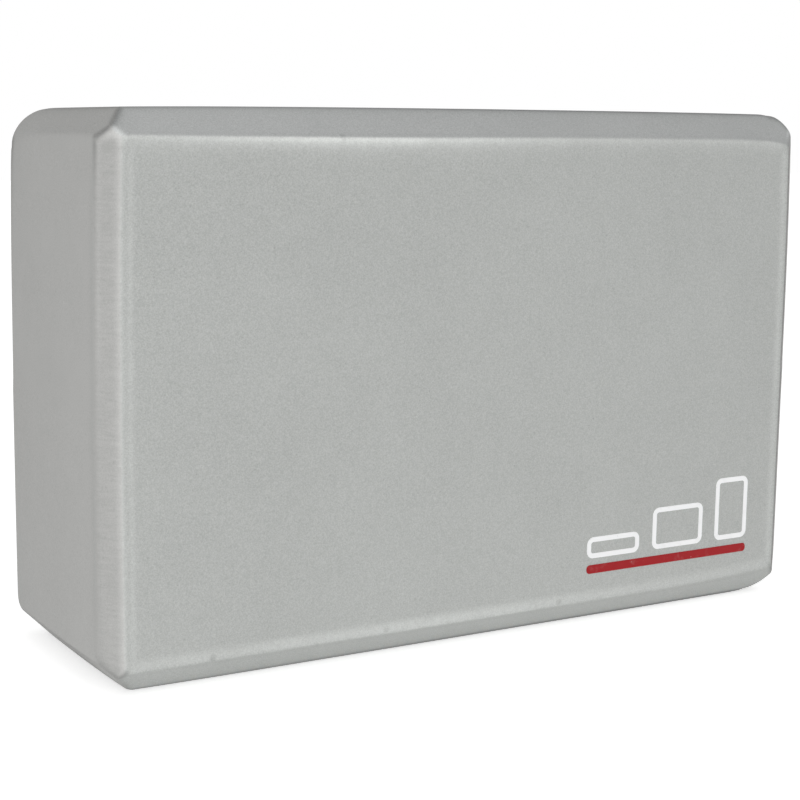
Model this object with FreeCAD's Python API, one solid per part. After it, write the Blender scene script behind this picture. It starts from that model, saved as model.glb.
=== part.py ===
# Foam yoga block with routed bevels and a small printed mark.
# Millimetres, +Z up. The block stands on a long narrow side: length along X, thickness along Y,
# the printed broad face towards -Y. The origin is the centre of the face that it stands on.

import FreeCAD, Part
import math
import os

# Block
length = 228.0
thickness = 75.0
height = 150.0

# Bevels: the leg that each family of edges loses on both faces beside it
long_bevel = 7.6
short_bevel = 8.5
upright_bevel = 4.5

# Creases: tight round the broad faces, softer on the narrow sides and ends, softest where those two meet
face_crease_radius = 1.0
side_crease_radius = 4.0
corner_crease_radius = 7.0

# Printed mark: the three ways that the block rests, drawn small in white line over a red base line
mark_scale_share = 0.085
mark_right_margin = 16.5
mark_floor_margin = 15.5
mark_gap = 5.0
mark_line_width = 1.5
mark_corner_radius = 1.5
base_line_width = 2.6
base_line_gap = 2.0
base_line_end_share = 0.45
film_thickness = 0.1

front_face_y = -thickness / 2

# Width and height of the block lying flat, on its long narrow side and on its end
resting_sizes = [(length, thickness), (length, height), (height, length)]
drawn_sizes = [(wide * mark_scale_share, tall * mark_scale_share) for wide, tall in resting_sizes]
mark_width = sum(wide for wide, tall in drawn_sizes) + mark_gap * (len(drawn_sizes) - 1)
mark_left = length / 2 - mark_right_margin - mark_width


def vector(x, y, z):
    return FreeCAD.Vector(x, y, z)


def bevelled_outline(width, depth, leg, width_end_radius, depth_end_radius):
    """Corners of a centred rectangle with bevelled corners: two places and the radius of the crease there."""
    half_width = width / 2
    half_depth = depth / 2
    inner_width = half_width - leg
    inner_depth = half_depth - leg
    return [
        (half_width, -inner_depth, width_end_radius),
        (half_width, inner_depth, width_end_radius),
        (inner_width, half_depth, depth_end_radius),
        (-inner_width, half_depth, depth_end_radius),
        (-half_width, inner_depth, width_end_radius),
        (-half_width, -inner_depth, width_end_radius),
        (-inner_width, -half_depth, depth_end_radius),
        (inner_width, -half_depth, depth_end_radius),
    ]


def crease_arc(before, corner, after, radius):
    """Arc that rounds one corner of an outline, given its neighbours."""
    back = (before - corner).normalize()
    ahead = (after - corner).normalize()
    half_angle = back.getAngle(ahead) / 2
    reach = radius / math.tan(half_angle)
    cut_depth = radius / math.sin(half_angle) - radius
    middle = corner + (back + ahead).normalize() * cut_depth
    return Part.Arc(corner + back * reach, middle, corner + ahead * reach).toShape()


def cutter_pass(outline, place, run):
    """Solid that one family of cuts leaves: the outline, put in space by place, extruded along run."""
    corners = [place(across, up) for across, up, radius in outline]
    radii = [radius for across, up, radius in outline]
    befores = corners[-1:] + corners[:-1]
    afters = corners[1:] + corners[:1]
    arcs = [crease_arc(*corner) for corner in zip(befores, corners, afters, radii)]
    edges = []
    for arc, next_arc in zip(arcs, arcs[1:] + arcs[:1]):
        edges.append(arc)
        edges.append(Part.makeLine(arc.lastVertex().Point, next_arc.firstVertex().Point))
    return Part.Face(Part.Wire(edges)).extrude(run)


def make_foam_block():
    """One cutter pass along each family of edges, so that the bevels mitre at the corners."""
    middle = height / 2
    short_edges = bevelled_outline(length, height, short_bevel, corner_crease_radius, corner_crease_radius)
    long_edges = bevelled_outline(thickness, height, long_bevel, face_crease_radius, side_crease_radius)
    upright_edges = bevelled_outline(length, thickness, upright_bevel, side_crease_radius, face_crease_radius)

    through = vector(0, thickness, 0)
    across = cutter_pass(short_edges, lambda x, z: vector(x, front_face_y, middle + z), through)
    along = cutter_pass(long_edges, lambda y, z: vector(-length / 2, y, middle + z), vector(length, 0, 0))
    upright = cutter_pass(upright_edges, lambda x, y: vector(x, y, 0), vector(0, 0, height))
    return across.common(along).common(upright).Solids[0]


def film_plate(left, bottom, wide, tall, corner_radius):
    """Printed film with rounded corners, its back on the front face."""
    plate = Part.makeBox(wide, film_thickness, tall, vector(left, front_face_y - film_thickness, bottom))
    corner_edges = [edge for edge in plate.Edges if edge.BoundBox.YLength > film_thickness / 2]
    return plate.makeFillet(corner_radius, corner_edges).Solids[0]


def film_frame(left, bottom, wide, tall):
    """Printed line round a rectangle with rounded corners."""
    line = mark_line_width
    inner_wide = wide - 2 * line
    inner_tall = tall - 2 * line
    outer = film_plate(left, bottom, wide, tall, mark_corner_radius + line / 2)
    inner = film_plate(left + line, bottom + line, inner_wide, inner_tall, mark_corner_radius - line / 2)
    return outer.cut(inner).Solids[0]


def make_white_print():
    """Outlines of the block in its three ways of resting, side by side."""
    bottom = mark_floor_margin + base_line_width + base_line_gap
    left = mark_left
    frames = []
    for wide, tall in drawn_sizes:
        frames.append(film_frame(left, bottom, wide, tall))
        left += wide + mark_gap
    return Part.makeCompound(frames)


def make_red_print():
    """Base line under the three outlines."""
    end_radius = base_line_width * base_line_end_share
    return film_plate(mark_left, mark_floor_margin, mark_width, base_line_width, end_radius)


nodes = {
    "foam_block": make_foam_block(),
    "white_print": make_white_print(),
    "red_print": make_red_print(),
}

os.makedirs("parts", exist_ok=True)
for node, shape in nodes.items():
    shape.exportStep(f"parts/{node}.step")
    print(node, len(shape.Solids), "solids", shape.isValid(), round(shape.Volume, 2), "mm3", shape.BoundBox)
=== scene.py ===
# Grey foam yoga block with bevelled edges and a small printed mark, standing on its long narrow side.
# Metres, +Z up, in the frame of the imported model.

import math

import bpy
import numpy as np
from mathutils import Matrix, Vector, noise


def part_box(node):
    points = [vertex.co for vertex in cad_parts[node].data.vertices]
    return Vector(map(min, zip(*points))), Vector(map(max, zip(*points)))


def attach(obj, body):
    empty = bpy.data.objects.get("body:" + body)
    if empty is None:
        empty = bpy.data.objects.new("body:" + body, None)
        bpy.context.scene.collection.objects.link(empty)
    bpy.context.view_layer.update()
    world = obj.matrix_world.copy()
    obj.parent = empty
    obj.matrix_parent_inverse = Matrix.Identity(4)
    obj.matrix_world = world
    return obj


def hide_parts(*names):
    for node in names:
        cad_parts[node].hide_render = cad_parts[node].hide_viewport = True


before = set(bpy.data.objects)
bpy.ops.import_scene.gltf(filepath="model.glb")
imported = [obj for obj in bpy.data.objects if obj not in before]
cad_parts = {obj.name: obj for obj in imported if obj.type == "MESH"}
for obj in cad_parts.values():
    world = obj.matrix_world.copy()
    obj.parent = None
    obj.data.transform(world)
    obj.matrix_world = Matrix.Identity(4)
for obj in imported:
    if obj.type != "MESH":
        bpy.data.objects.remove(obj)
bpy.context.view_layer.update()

MM = 0.001
AXES = range(3)
SIDES = (-1, 1)

# Block
block_low, block_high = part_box("foam_block")
block_middle = (block_low + block_high) / 2
half_size = np.array(block_high - block_low) / 2

# Sides of the block: -1 is left, front or under, and 1 is right, back or top.
left_front_under = (-1, -1, -1)
left_front_top = (-1, -1, 1)
left_back_under = (-1, 1, -1)
left_back_top = (-1, 1, 1)
right_front_under = (1, -1, -1)
right_front_top = (1, -1, 1)
right_back_under = (1, 1, -1)
right_back_top = (1, 1, 1)

# Bevels: the leg that each family of edges loses on the faces beside it
long_bevel = {-1: 6.95 * MM, 1: 7.5 * MM}
upright_bevel_on_face = {-1: 4.3 * MM, 1: 4.6 * MM}
upright_bevel_on_end = {(-1, -1): 5.5 * MM, (-1, 1): 5.0 * MM, (1, -1): 4.2 * MM, (1, 1): 5.0 * MM}
short_bevel = {(-1, -1): 7.8 * MM, (-1, 1): 6.5 * MM, (1, -1): 8.0 * MM, (1, 1): 8.0 * MM}

# The long bevels widen or narrow on the broad face towards some corners.
long_bevel_growth = {
    left_front_top: -1.2 * MM,
    left_back_top: 15.5 * MM,
    right_front_under: 2.4 * MM,
    right_front_top: 4.3 * MM,
}
long_bevel_growth_reach = {
    left_front_top: 25 * MM,
    left_back_top: 6 * MM,
    right_front_under: 20 * MM,
    right_front_top: 5 * MM,
}

# Corners: crisp mitres, or short bevels that run out into a corner that is rubbed round
short_bevel_growth = {
    left_front_under: 1.1 * MM,
    left_front_top: 0.6 * MM,
    left_back_under: 1.1 * MM,
}
short_bevel_growth_reach = 10 * MM
round_corner_radius = {
    left_back_top: 10.6 * MM,
    right_front_under: 9.4 * MM,
    right_front_top: 7.0 * MM,
}
round_corner_reach = 12 * MM
mitre_radius = {
    left_front_under: 2.0 * MM,
    left_front_top: 1.5 * MM,
    left_back_under: 8.6 * MM,
    left_back_top: 3.7 * MM,
    right_front_under: 8.5 * MM,
    right_front_top: 4.5 * MM,
    right_back_under: 2.2 * MM,
    right_back_top: 5.0 * MM,
}
corner_softness = {left_front_under: 8.0 * MM, left_back_under: 2.5 * MM}
corner_softness_reach = 15 * MM
crisp_mitre = 1.5 * MM
rounded_tip = {left_front_top: 7.5 * MM}
groove_depth = 0.35 * MM
groove_width = 0.5 * MM

# Creases: tight round the broad faces, softer on the narrow sides and ends
face_crease_radius = 1.0 * MM
end_crease_radius = 2.0 * MM
side_crease_radius = 3.0 * MM
crease_blend_share = 0.305

# Cuts whose depth under each point of the mesh is kept with it, in millimetres, for the foam's finish
cut_names = ("broad_face", "end", "narrow_side", "long_bevel", "upright_bevel", "short_bevel")

# Settling of the foam: the ends lean in under the top, and the top sinks towards the ends
end_lean = {-1: 1.2 * MM, 1: 1.1 * MM}
end_lean_reach = 30 * MM
top_sink = {-1: 0.7 * MM, 1: 0.45 * MM}
top_sink_reach = 35 * MM
settling_border = 8 * MM
bevel_wander = 0.3 * MM
bevel_wander_length = 60 * MM
settling_steps = 8
slope_step = 0.01 * MM

# Mesh lines from the block's edges inwards, and over the open faces
border_width = 12 * MM
border_step = 0.32 * MM
open_face_step = 3.5 * MM
weld_step = 0.01 * MM

# Foam colours
face_grey = (0.445, 0.456, 0.443)
end_grey = (0.452, 0.452, 0.441)
top_bevel_grey = (0.447, 0.456, 0.452)

# Foam marks: sizes in millimetres, and strengths as shares of the foam's tone
grain_size = 0.33
grain_strength = 0.54
coarse_grain_size = 1.1
coarse_grain_strength = 0.015
grain_lost_on_ends = 0.4
grain_lost_on_bevels = 0.35
cutter_mark_size = 0.7
cutter_mark_strength = 0.2
cutter_stretch = (0.15, 0.15, 1.0)
small_cloud_size = 2.5
small_cloud_strength = 0.01
middle_cloud_size = 6
middle_cloud_strength = 0.045
large_cloud_size = 24
large_cloud_strength = 0.07
pinhole_spacing = 1.7
pinhole_strength = 0.08
speck_spacing = 11
speck_strength = 0.1
nick_spacing = 16
nick_strength = 0.22

# Paler borders, partly rubbed foam and partly a painted highlight, with the upright bevels' paler lip and
# their tip with a painted highlight: how much paler they are, as shares of the foam's tone
top_rub_and_highlight_strength = 0.16
top_rub_and_highlight_peak = 0.43
under_rub_and_highlight_strength = 0.13
under_rub_and_highlight_peak = 0.14
left_rub_and_highlight_strength = 0.24
left_inner_rub_and_highlight_strength = 0.12
right_rub_and_highlight_strength = 0.14
rub_and_highlight_patchiness = 0.5
lip_strength = 0.05
tip_rub_and_highlight_strength = 0.55

# Painted shade in the outer creases, along the edges and where the bevels mitre: how much darker it makes
# the foam, as shares of the foam's tone
left_edge_darkness = 0.3
right_edge_darkness = 0.45
beside_face_darkness = 0.03
right_line_darkness = 0.5
beside_bevel_darkness = 0.05
front_brow_darkness = 0.1
back_brow_darkness = 0.28
brow_lost_on_right = 0.7
run_out_darkness = 0.36
under_mitre_darkness = 0.18
top_mitre_darkness = 0.38
mitre_halo_darkness = 0.06
notch_darkness = 0.34
bevel_end_darkness = 0.14

# Painted light and shade drifting slowly over the block, as shares of the foam's tone
low_paleness = 0.09
low_paleness_reach = 30
bevel_share_of_low_paleness = 0.08
high_darkness = 0.03
right_darkness = 0.02
top_bevel_paleness = 0.04
left_bevel_paleness = 0.06
end_darkening_per_mm = 0.0007

# Printed films
white_ink = (0.93, 0.935, 0.94)
red_ink = (0.34, 0.012, 0.016)
foam_under_ink = (0.44, 0.45, 0.44)
film_cell_size = 0.4 * MM
film_wear_size = 3 * MM
film_wear_detail = 3.0
film_pinhole_spacing = 2.5 * MM
film_pinhole_strength = 0.25
film_wear_strength = 0.08

# Gloss and relief of the foam and the films
specular_level = 0.2
bump_strength = 0.3
bump_height = 0.1 * MM

# Floor
floor_reach = 4.0
floor_gap = 0.05 * MM
floor_grey = 0.9

# Camera
camera_place = Vector((-264.989, -423.407, 144.341)) * MM
camera_yaw = math.radians(29.403)
camera_pitch = math.radians(9.096)
camera_roll = math.radians(0.434)
camera_focal_share = 1694.85 / 800
camera_sensor = 36.0
camera_near = 0.01
camera_shift = 0.075

# Light
horizon_light = 0.2
zenith_light = 0.8
floor_glow = 0.285
floor_whitening = 0.3
right_softbox_turn = math.radians(10)
right_softbox_distance = 0.9
right_softbox_power = 3.0
left_softbox_turn = math.radians(-60)
left_softbox_distance = 0.6
left_softbox_power = 0.95
softbox_size = 0.5
softbox_height = 0.05


class Signal:
    """A number that varies over a surface. Arithmetic on it adds Math nodes."""

    def __init__(self, nodes, socket):
        self.nodes = nodes
        self.socket = socket

    def calculate(self, operation, *terms):
        made = self.nodes.add("Math", {"operation": operation}, dict(enumerate(terms)))
        return Signal(self.nodes, made.outputs[0])

    def __add__(self, other):
        return self.calculate("ADD", self, other)

    def __radd__(self, other):
        return self.calculate("ADD", other, self)

    def __sub__(self, other):
        return self.calculate("SUBTRACT", self, other)

    def __rsub__(self, other):
        return self.calculate("SUBTRACT", other, self)

    def __mul__(self, other):
        return self.calculate("MULTIPLY", self, other)

    def __rmul__(self, other):
        return self.calculate("MULTIPLY", other, self)

    def __truediv__(self, other):
        return self.calculate("DIVIDE", self, other)

    def __abs__(self):
        return self.calculate("ABSOLUTE", self)

    def lesser(self, other):
        return self.calculate("MINIMUM", self, other)

    def greater(self, other):
        return self.calculate("MAXIMUM", self, other)

    def fading(self, reach):
        """1 where this is 0, and falling away over the reach on both sides."""
        return self.calculate("EXPONENT", abs(self) / -reach)

    def bell(self, middle, width):
        """1 at the middle, falling away smoothly over the width on both sides."""
        offset = (self - middle) / width
        return (offset * offset).fading(1.0)

    def rising(self, start, end):
        """Smooth step from 0 at start to 1 at end."""
        sockets = {"Value": self, "From Min": start, "From Max": end}
        return self.nodes.signal("MapRange", {"interpolation_type": "SMOOTHSTEP"}, sockets)


class Nodes:
    """The node tree of a material or of the world, while it is being made."""

    def __init__(self, owner):
        owner.use_nodes = True
        self.owner = owner
        self.tree = owner.node_tree
        self.tree.nodes.clear()

    def add(self, kind, settings=None, sockets=None):
        made = self.tree.nodes.new("ShaderNode" + kind)
        for name, value in (settings or {}).items():
            setattr(made, name, value)
        for name, value in (sockets or {}).items():
            by_name = [socket for socket in made.inputs if name in (socket.identifier, socket.name)]
            target = made.inputs[name] if isinstance(name, int) else by_name[0]
            source = value.socket if isinstance(value, Signal) else value
            if isinstance(source, bpy.types.NodeSocket):
                self.tree.links.new(source, target)
            else:
                target.default_value = source
        return made

    def signal(self, kind, settings=None, sockets=None, output=0):
        return Signal(self, self.add(kind, settings, sockets).outputs[output])

    def between(self, first, second, factor):
        """Number that goes from first to second as factor goes from 0 to 1."""
        return first + (second - first) * factor

    def blend(self, factor, first, second, how="MIX"):
        """Colour that goes from first to second as factor goes from 0 to 1."""
        settings = {"data_type": "RGBA", "blend_type": how}
        sockets = {"Factor_Float": factor, "A_Color": first, "B_Color": second}
        return self.add("Mix", settings, sockets).outputs[2]

    def cloud(self, place, size, detail=1.0):
        """Noise around 0, about -0.5 to 0.5, with lumps of the given size."""
        sockets = {"Vector": place, "Scale": 1 / size, "Detail": detail}
        return self.signal("TexNoise", sockets=sockets) - 0.5

    def from_dots(self, place, spacing):
        """Distance to the nearest of some scattered dots, as a share of their spacing."""
        return self.signal("TexVoronoi", sockets={"Vector": place, "Scale": 1 / spacing}, output="Distance")

    def coated(self, colour, roughness, relief):
        """The finished material, from its colour, roughness and relief."""
        heights = {"Strength": bump_strength, "Distance": bump_height, "Height": relief}
        bump = self.add("Bump", sockets=heights).outputs[0]
        sockets = {"Base Color": colour, "Roughness": roughness, "Specular IOR Level": specular_level}
        sockets["Normal"] = bump
        return self.finish(self.add("BsdfPrincipled", sockets=sockets))

    def finish(self, shader, surface="OutputMaterial"):
        self.add(surface, sockets={"Surface": shader.outputs[0]})
        return self.owner


def opaque(red, green, blue):
    return (red, green, blue, 1.0)


def seen_directly(nodes):
    """1 for rays that show the background to the camera, straight or by reflection."""
    path = nodes.add("LightPath")
    straight = Signal(nodes, path.outputs["Is Camera Ray"])
    glossy = Signal(nodes, path.outputs["Is Glossy Ray"])
    through = Signal(nodes, path.outputs["Is Transmission Ray"])
    return straight.greater(glossy).greater(through)


# Foam block

def mesh_lines(half):
    """Places of the mesh lines along one axis, close together where the bevels are."""
    border = half - np.arange(0, border_width, border_step)
    open_half = half - border_width
    inner = np.linspace(-open_half, open_half, 1 + round(2 * open_half / open_face_step))
    return np.concatenate([-border, inner, border[::-1]])


def box_grid():
    """Points and quads of a box with mesh lines on its six sides, welded along its edges."""
    lines = [mesh_lines(half) for half in half_size]
    points = []
    quads = []
    count = 0
    for axis in AXES:
        across, up = (axis + 1) % 3, (axis + 2) % 3
        for side in SIDES:
            grid = np.zeros((len(lines[across]), len(lines[up]), 3))
            grid[..., axis] = side * half_size[axis]
            grid[..., across] = lines[across][:, None]
            grid[..., up] = lines[up][None, :]
            index = count + np.arange(grid.shape[0] * grid.shape[1]).reshape(grid.shape[:2])
            corners = [index[:-1, :-1], index[1:, :-1], index[1:, 1:], index[:-1, 1:]]
            quads.append(np.stack(corners[::side], axis=-1).reshape(-1, 4))
            points.append(grid.reshape(-1, 3))
            count += index.size
    points = np.concatenate(points)
    cells = np.round(points / weld_step).astype(int)
    kept, first, merged = np.unique(cells, axis=0, return_index=True, return_inverse=True)
    return points[first], merged.reshape(-1)[np.concatenate(quads)]


def waves(points, length, seed):
    """Smooth noise from -1 to 1 at each point."""
    shift = Vector((seed, 2 * seed, 3 * seed))
    return np.array([noise.noise(Vector(point) / length + shift) for point in points])


def meet(first, second, radius):
    """Level of two cuts that meet in a crease of about the given radius."""
    blend = crease_blend_share * radius
    overlap = np.maximum(blend - np.abs(first - second), 0) / blend
    return np.maximum(first, second) + overlap ** 2 * blend / 4


def by_side(values, *sides):
    """The value for each point, by the sides of the block that it is on."""
    chosen = np.zeros(len(sides[0]))
    for key, value in values.items():
        wanted = np.atleast_1d(key)
        chosen[np.all([side == part for side, part in zip(sides, wanted)], axis=0)] = value
    return chosen


class FoamCuts:
    """The cuts that shape the foam round each of some points on a plain box."""

    def __init__(self, points):
        left_right, front_back, under_top = np.where(points < 0, -1, 1).T
        corner = (left_right, front_back, under_top)
        upper = under_top > 0
        self.lean = upper * by_side(end_lean, left_right)
        self.sink = upper * by_side(top_sink, left_right)
        self.long_leg = by_side(long_bevel, under_top)
        self.long_growth = by_side(long_bevel_growth, *corner)
        # Above 0 everywhere, also where a bevel doesn't grow
        self.long_growth_reach = np.maximum(by_side(long_bevel_growth_reach, *corner), slope_step)
        self.upright_face_leg = by_side(upright_bevel_on_face, left_right)
        self.upright_end_leg = by_side(upright_bevel_on_end, left_right, front_back)
        self.short_leg = by_side(short_bevel, left_right, under_top)
        self.short_growth = by_side(short_bevel_growth, *corner)
        self.rounding = by_side(round_corner_radius, *corner)
        self.mitre = by_side(mitre_radius, *corner)
        self.tip = crisp_mitre + by_side(rounded_tip, *corner)
        self.softness = by_side(corner_softness, *corner)
        self.wander = bevel_wander * (1 + waves(points, bevel_wander_length, 1)) / 2

    def bevel(self, over_first, over_second, first_leg, second_leg):
        """How far points lie outside a bevel, from how far outside the two faces beside it they lie."""
        slope = np.hypot(1 / first_leg, 1 / second_leg)
        return (over_first / first_leg + over_second / second_leg + 1) / slope

    def round_over(self, over_first, over_second):
        """How far points lie outside a rounded edge, from how far outside the faces beside it they lie."""
        first = over_first + self.rounding
        second = over_second + self.rounding
        beside = (np.minimum(first, 0) + np.minimum(second, 0)) / 2
        return np.hypot(np.maximum(first, 0), np.maximum(second, 0)) - self.rounding + beside

    def levels(self, points):
        """How far each point lies outside the cuts, in the order of the cut names."""
        over_end, over_face, over_side = (np.abs(points) - half_size).T
        from_end = np.maximum(-over_end - settling_border, 0)
        from_side = np.maximum(-over_side - settling_border, 0)
        from_face = np.maximum(-over_face - settling_border, 0)
        over_end = over_end + self.lean * np.exp(-from_side / end_lean_reach)
        over_side = over_side + self.sink * np.exp(-from_end / top_sink_reach)
        long_face_leg = self.long_leg + self.long_growth * np.exp(over_end / self.long_growth_reach)
        short_leg = self.short_leg + self.short_growth * np.exp(over_face / short_bevel_growth_reach)
        over_long = self.bevel(over_face, over_side, self.long_leg, long_face_leg)
        over_upright = self.bevel(over_face, over_end, self.upright_end_leg, self.upright_face_leg)
        over_short = (over_end + over_side + short_leg) / math.sqrt(2)
        over_long = over_long + self.wander
        over_upright = over_upright + self.wander
        over_short = over_short + self.wander
        rounded_share = (self.rounding > 0) * np.exp(-from_face / round_corner_reach)
        over_short = over_short + rounded_share * (self.round_over(over_end, over_side) - over_short)
        return over_face, over_end, over_side, over_long, over_upright, over_short

    def surface_level(self, points):
        """How far each point lies outside the block's surface."""
        over_face, over_end, over_side, over_long, over_upright, over_short = self.levels(points)
        softness = self.softness * np.exp((over_face + over_end + over_side) / corner_softness_reach)
        ring = meet(over_long, over_upright, self.tip)
        bevels = meet(ring, over_short, self.mitre)
        outer = meet(bevels, over_end, end_crease_radius + softness)
        outer = meet(outer, over_side, side_crease_radius + softness)
        return meet(outer, over_face, face_crease_radius)

    def groove_depths(self, points):
        """Depth of the groove that the cutter left along the crisp mitres."""
        over_face, over_end, over_side, over_long, over_upright, over_short = self.levels(points)
        from_mitre = np.minimum(over_short, np.maximum(over_long, over_upright))
        return groove_depth * np.exp(-(from_mitre / groove_width) ** 2) * (self.mitre < 2 * crisp_mitre)


def settle(points, cuts):
    """Box points moved onto the foam's surface."""
    for step in range(settling_steps):
        levels = cuts.surface_level(points)
        shifted = [cuts.surface_level(points + slope_step * np.eye(3)[axis]) for axis in AXES]
        slopes = np.stack([(level - levels) / slope_step for level in shifted], axis=-1)
        points = points - slopes * (levels / (slopes ** 2).sum(axis=1))[:, None]
    return points - slopes * cuts.groove_depths(points)[:, None]


def make_foam_body():
    points, quads = box_grid()
    cuts = FoamCuts(points)
    points = settle(points, cuts)
    mesh = bpy.data.meshes.new("foam_body")
    mesh.from_pydata((points + np.array(block_middle)).tolist(), [], quads.tolist())
    mesh.shade_smooth()
    for name, level in zip(cut_names, cuts.levels(points)):
        depth = mesh.attributes.new(name, "FLOAT", "POINT")
        depth.data.foreach_set("value", -level / MM)
    mesh.materials.append(foam_finish())
    body = bpy.data.objects.new("foam_body", mesh)
    bpy.context.scene.collection.objects.link(body)
    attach(body, "root")
    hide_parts("foam_block")
    return body


# Finishes

class FoamNodes(Nodes):
    """The foam's node tree, with the place on the block and the depth under each cut, in millimetres."""

    def __init__(self, owner):
        super().__init__(owner)
        from_origin = self.add("TexCoord").outputs["Object"]
        in_millimetres = {0: from_origin, "Scale": 1 / MM}
        self.place = self.add("VectorMath", {"operation": "SCALE"}, in_millimetres).outputs[0]
        parts = self.add("SeparateXYZ", sockets={"Vector": self.place}).outputs
        self.x, self.y, self.z = (Signal(self, part) for part in parts)
        cuts = [self.signal("Attribute", {"attribute_name": name}, output="Fac") for name in cut_names]
        self.face, self.end, self.side, self.long, self.upright, self.short = cuts
        self.ring = self.long.lesser(self.upright)
        self.onto_face = (self.ring - self.face) * math.sqrt(2)
        self.onto_end = (self.upright - self.end) * math.sqrt(2)
        self.mitre = self.short.greater(self.ring)
        self.top = self.z.rising(65, 85)
        self.right = self.x.rising(-10, 10)
        outside = self.side.lesser(self.end + 50 * (1 - self.right))
        self.past_bevel = (self.long.lesser(self.short) - outside) * math.sqrt(2)
        self.by_long_edge = (self.upright - self.long).rising(-1, 1)


def rub_and_highlight_share(foam):
    """How much paler the foam is along the borders of its broad faces: partly foam rubbed by handling,
    partly a painted highlight that peaks along the top and under borders and on the upright bevels' tip.
    """
    # Rubbed foam with a painted highlight along the long borders, strongest at the peaks
    past_crease = (foam.onto_face - 0.9).greater(0.0)
    top_rub_and_highlight = (top_rub_and_highlight_strength + top_rub_and_highlight_peak * foam.x.bell(-42, 52)) * past_crease.fading(1.5)
    under_rub_and_highlight = under_rub_and_highlight_strength + under_rub_and_highlight_peak * foam.x.bell(-20, 62)
    under_rub_and_highlight = under_rub_and_highlight * (1 - foam.onto_face.rising(1.6, 4.4))
    long_rub_and_highlight = foam.between(under_rub_and_highlight, top_rub_and_highlight, foam.top) * foam.onto_face.rising(-0.4, 0.5)
    left_rub_and_highlight = left_rub_and_highlight_strength * foam.onto_face.bell(-0.4, 1.3)
    left_rub_and_highlight = left_rub_and_highlight + left_inner_rub_and_highlight_strength * foam.onto_face.bell(2.8, 1.1)
    right_rub_and_highlight = right_rub_and_highlight_strength * foam.onto_face.bell(1.9, 1.2)
    upright_rub_and_highlight = foam.between(left_rub_and_highlight, right_rub_and_highlight, foam.right)
    large_patches = rub_and_highlight_patchiness * foam.cloud(foam.place, 7)
    small_patches = rub_and_highlight_patchiness * foam.cloud(foam.place, 1.6)
    patchy = 1 + large_patches + small_patches
    border_rub_and_highlight = patchy * foam.between(upright_rub_and_highlight, long_rub_and_highlight, foam.by_long_edge)

    # Paler outer lip of the upright bevels, and a painted highlight on their rubbed tip
    on_bevel = foam.upright.rising(0.6, 0.2)
    lip = lip_strength * foam.onto_end.bell(-0.8, 0.7) * foam.z.rising(70, 105)
    by_mitre = foam.short.lesser(foam.long).bell(1.2, 1.6) * foam.short.rising(0.2, 0.9)
    by_tip = by_mitre * foam.upright.rising(1.6, 0.8) * foam.side.rising(10, 5)
    return border_rub_and_highlight + on_bevel * lip + tip_rub_and_highlight_strength * by_tip * foam.top


def painted_shade_share(foam):
    """Painted shade: how much darker the foam is painted along the outer creases and edges, and most where
    the bevels mitre.
    """
    # Painted shade along the outer edges, in the creases beside the faces and bevels, along the right
    # upright crease and under the brow of the short bevels
    near_edge = foam.long.lesser(foam.short).rising(3.0, 1.0)
    before_edge = (foam.between(-1.4, 0.1, foam.top) - foam.past_bevel).greater(0.0)
    edge_width = foam.between(0.45, 0.9, foam.top)
    edge_darkness = foam.between(left_edge_darkness, right_edge_darkness, foam.x.rising(-100, 60))
    edge = near_edge * edge_darkness * (before_edge / edge_width).fading(1.0)
    beside_face = beside_face_darkness * foam.onto_face.bell(-1.0, 0.6)
    right_line = right_line_darkness * foam.onto_face.rising(0.7, -0.2) * foam.face.rising(1.8, 0.8)
    right_line = right_line * foam.right * (1 - foam.by_long_edge)
    beside_bevel = beside_bevel_darkness * foam.onto_end.bell(2.2, 1.6) * foam.end.rising(0.6, 0.1)
    beside_bevel = beside_bevel * foam.y.rising(10, -10)
    by_brow = (foam.short - foam.end).rising(0.5, -0.3) * foam.short.rising(0.8, 0.3)
    brow_darkness = foam.between(front_brow_darkness, back_brow_darkness, foam.y.rising(-32, -8))
    under_brow = (1 - foam.top) * (1 - brow_lost_on_right * foam.right) * brow_darkness * by_brow
    lines = edge + beside_face + beside_bevel + under_brow + right_line

    # Painted shade where the short bevels run out on the ends, along the mitres, in the notch between the
    # long and upright bevels, and at the top of the right upright bevel
    on_end = foam.end.rising(0.8, 0.1)
    run_out = run_out_darkness * foam.onto_end.bell(0.9, 1.2) * foam.short.fading(6.0) * on_end * foam.top
    from_mitre = foam.mitre / foam.between(1.1, 1.5, foam.right)
    mitre = foam.between(under_mitre_darkness, top_mitre_darkness, foam.top) * from_mitre.bell(0, 1.0)
    mitre = mitre + mitre_halo_darkness * foam.mitre.fading(3.0)
    by_ring_mitre = foam.long.greater(foam.upright).bell(0, 0.8)
    notch = notch_darkness * by_ring_mitre * (1 - foam.top * (1 - foam.right))
    by_bevel_end = foam.upright.rising(2.5, 0.3) * foam.by_long_edge
    bevel_end = bevel_end_darkness * by_bevel_end * foam.right * foam.top
    return lines.greater(mitre).greater(run_out).greater(notch).greater(bevel_end)


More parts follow.
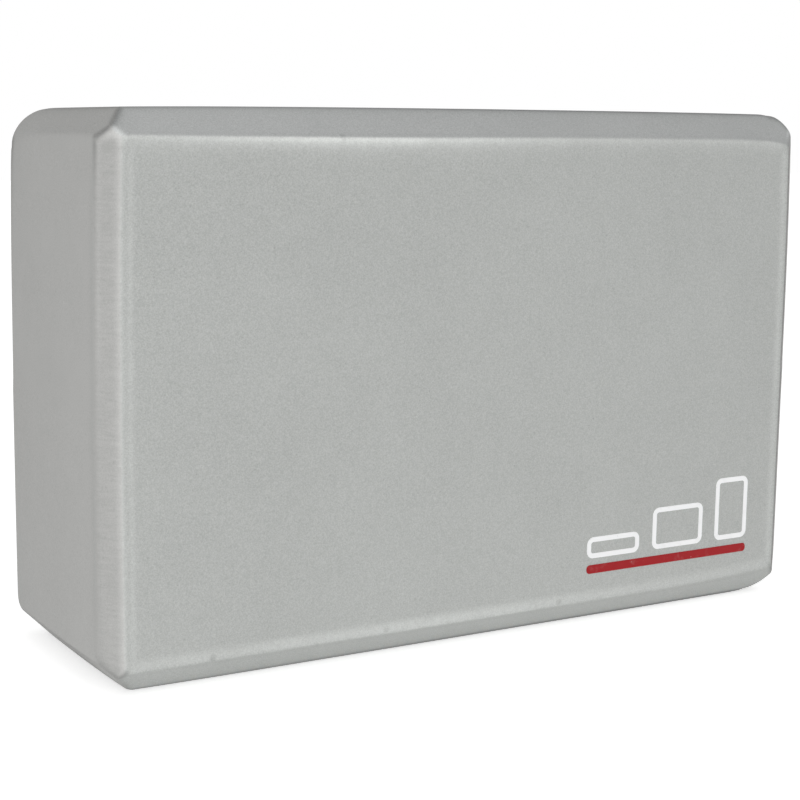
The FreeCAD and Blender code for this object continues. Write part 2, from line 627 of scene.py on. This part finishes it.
def foam_finish():
    """Closed-cell foam: grained faces with pale borders, partly rubbed and partly a painted highlight,
    bevels with painted shade in their outer creases, and painted light and shade drifting over the block.
    """
    foam = FoamNodes(bpy.data.materials.new("grey_foam"))
    by_end = foam.end.lesser(foam.upright).lesser(foam.short)
    end_zone = (foam.face.lesser(foam.long) - by_end).rising(-0.4, 0.4) * by_end.rising(1.2, 0.6)
    on_end = foam.end.rising(0.5, 0.1)
    by_top_bevel = (foam.face.lesser(foam.end).lesser(foam.short) - foam.long).rising(-0.4, 0.4)
    on_top_bevel = by_top_bevel * foam.long.rising(1.2, 0.6) * foam.top
    on_upright_bevel = foam.upright.rising(0.6, 0.2)

    # Grain, cutter marks and cloudiness
    cells = grain_strength * foam.cloud(foam.place, grain_size)
    cells = cells + coarse_grain_strength * foam.cloud(foam.place, coarse_grain_size)
    cells = cells * (1 - grain_lost_on_ends * on_end - grain_lost_on_bevels * on_upright_bevel)
    stretched = {0: foam.place, 1: cutter_stretch}
    along_cutter = foam.add("VectorMath", {"operation": "MULTIPLY"}, stretched).outputs[0]
    cutter_marks = cutter_mark_strength * foam.cloud(along_cutter, cutter_mark_size) * on_upright_bevel
    clouds = small_cloud_strength * foam.cloud(foam.place, small_cloud_size)
    clouds = clouds + middle_cloud_strength * foam.cloud(foam.place, middle_cloud_size)
    clouds = clouds + large_cloud_strength * foam.cloud(foam.place, large_cloud_size)

    # Pinholes, nicks near the creases, and pale specks
    pinholes = pinhole_strength * foam.from_dots(foam.place, pinhole_spacing).rising(0.2, 0.08)
    nicks = nick_strength * foam.from_dots(foam.place, nick_spacing).rising(0.09, 0.03)
    nicks = nicks * foam.onto_face.bell(0, 3.0)
    specks = speck_strength * foam.from_dots(foam.place, speck_spacing).rising(0.05, 0.02)
    spots = specks - (pinholes + nicks)

    # Painted light and shade: paler low down and on the left of the top bevel, darker high up, on the right
    # and towards the back of the ends
    past_bevels = foam.long.lesser(foam.short).rising(0.2, 0.8)
    paler_low = low_paleness * foam.z.fading(low_paleness_reach)
    paler_low = paler_low * foam.between(bevel_share_of_low_paleness, 1.0, past_bevels)
    darker_face = high_darkness * foam.z.rising(75, 150) + right_darkness * foam.x.rising(20, 110)
    darker_face = darker_face * (1 - end_zone)
    paler_bevel = on_top_bevel * (top_bevel_paleness + left_bevel_paleness * foam.x.rising(20, -100))
    painted_light_and_shade = paler_low - darker_face + paler_bevel - end_darkening_per_mm * foam.y * on_end

    # Paler borders: rubbed foam with a painted highlight
    rubbed_and_highlighted = rub_and_highlight_share(foam)
    pale = 1 + rubbed_and_highlighted + painted_light_and_shade + cells + cutter_marks + clouds + spots
    tone = pale * (1 - painted_shade_share(foam))
    grey = foam.blend(end_zone, opaque(*face_grey), opaque(*end_grey))
    grey = foam.blend(on_top_bevel, grey, opaque(*top_bevel_grey))
    tones = foam.add("CombineColor", sockets={0: tone, 1: tone, 2: tone}).outputs[0]
    colour = foam.blend(1.0, grey, tones, "MULTIPLY")
    roughness = 0.8 - 0.3 * rubbed_and_highlighted + 0.3 * cells
    return foam.coated(colour, roughness, cells + cutter_marks + 2 * spots)


def film_finish(name, ink):
    """Thin printed ink that follows the foam's cells, with a few pinholes and worn patches."""
    film = Nodes(bpy.data.materials.new(name))
    place = film.add("TexCoord").outputs["Object"]
    cells = film.cloud(place, film_cell_size)
    wear = film.cloud(place, film_wear_size, film_wear_detail)
    pinhole = film.from_dots(place, film_pinhole_spacing).rising(0.1, 0.05)
    worn = film_pinhole_strength * pinhole + film_wear_strength * wear.rising(0.05, 0.25)
    colour = film.blend(worn, opaque(*ink), opaque(*foam_under_ink))
    roughness = 0.5 + 0.2 * wear + 0.2 * cells
    return film.coated(colour, roughness, cells - pinhole)


def dress(node, finish):
    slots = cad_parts[node].data.materials
    slots.clear()
    slots.append(finish)


# Studio

def make_floor():
    nodes = Nodes(bpy.data.materials.new("pale_floor"))
    ground = nodes.add("BsdfDiffuse", sockets={"Color": opaque(floor_grey, floor_grey, floor_grey)})
    glow = nodes.add("Emission", sockets={"Strength": floor_glow + floor_whitening * seen_directly(nodes)})
    both = nodes.add("AddShader", sockets={0: ground.outputs[0], 1: glow.outputs[0]})
    mesh = bpy.data.meshes.new("floor")
    below = block_low.z - floor_gap
    around = ((-1, -1), (1, -1), (1, 1), (-1, 1))
    corners = [(across * floor_reach, along * floor_reach, below) for across, along in around]
    mesh.from_pydata(corners, [], [(0, 1, 2, 3)])
    mesh.materials.append(nodes.finish(both))
    floor = bpy.data.objects.new("floor", mesh)
    bpy.context.scene.collection.objects.link(floor)


def hang_softbox(name, turn, distance, power):
    """Square lamp that faces the block, turned from straight in front of it."""
    lamp = bpy.data.lights.new(name, "AREA")
    lamp.size = softbox_size
    lamp.energy = power
    softbox = bpy.data.objects.new(name, lamp)
    softbox.location = (distance * math.sin(turn), -distance * math.cos(turn), softbox_height)
    aim = Vector((0, 0, softbox_height)) - softbox.location
    softbox.rotation_euler = aim.to_track_quat("-Z", "Y").to_euler()
    softbox.visible_camera = False
    softbox.visible_glossy = False
    bpy.context.scene.collection.objects.link(softbox)


def light_studio():
    world = bpy.data.worlds.new("studio")
    bpy.context.scene.world = world
    nodes = Nodes(world)
    direction = nodes.add("TexCoord").outputs["Generated"]
    height = nodes.signal("SeparateXYZ", sockets={"Vector": direction}, output="Z")
    strength = horizon_light + (zenith_light - horizon_light) * height.greater(0.0)
    white = opaque(1, 1, 1)
    around = nodes.add("Background", sockets={"Color": white, "Strength": strength})
    behind = nodes.add("Background", sockets={"Color": white, "Strength": 1.0})
    sockets = {0: seen_directly(nodes), 1: around.outputs[0], 2: behind.outputs[0]}
    nodes.finish(nodes.add("MixShader", sockets=sockets), "OutputWorld")
    hang_softbox("right_softbox", right_softbox_turn, right_softbox_distance, right_softbox_power)
    hang_softbox("left_softbox", left_softbox_turn, left_softbox_distance, left_softbox_power)


def place_camera():
    lens = bpy.data.cameras.new("camera")
    lens.sensor_width = camera_sensor
    lens.lens = camera_focal_share * lens.sensor_width
    lens.shift_x = camera_shift
    lens.clip_start = camera_near
    camera = bpy.data.objects.new("camera", lens)
    bpy.context.scene.collection.objects.link(camera)
    turn = Matrix.Rotation(-camera_yaw, 4, "Z")
    tilt = Matrix.Rotation(math.pi / 2 - camera_pitch, 4, "X")
    roll = Matrix.Rotation(camera_roll, 4, "Z")
    camera.matrix_world = Matrix.Translation(camera_place) @ turn @ tilt @ roll
    bpy.context.scene.camera = camera


make_foam_body()
dress("white_print", film_finish("white_film", white_ink))
dress("red_print", film_finish("red_film", red_ink))
make_floor()
light_studio()
place_camera()
bpy.context.scene.view_settings.view_transform = "Standard"
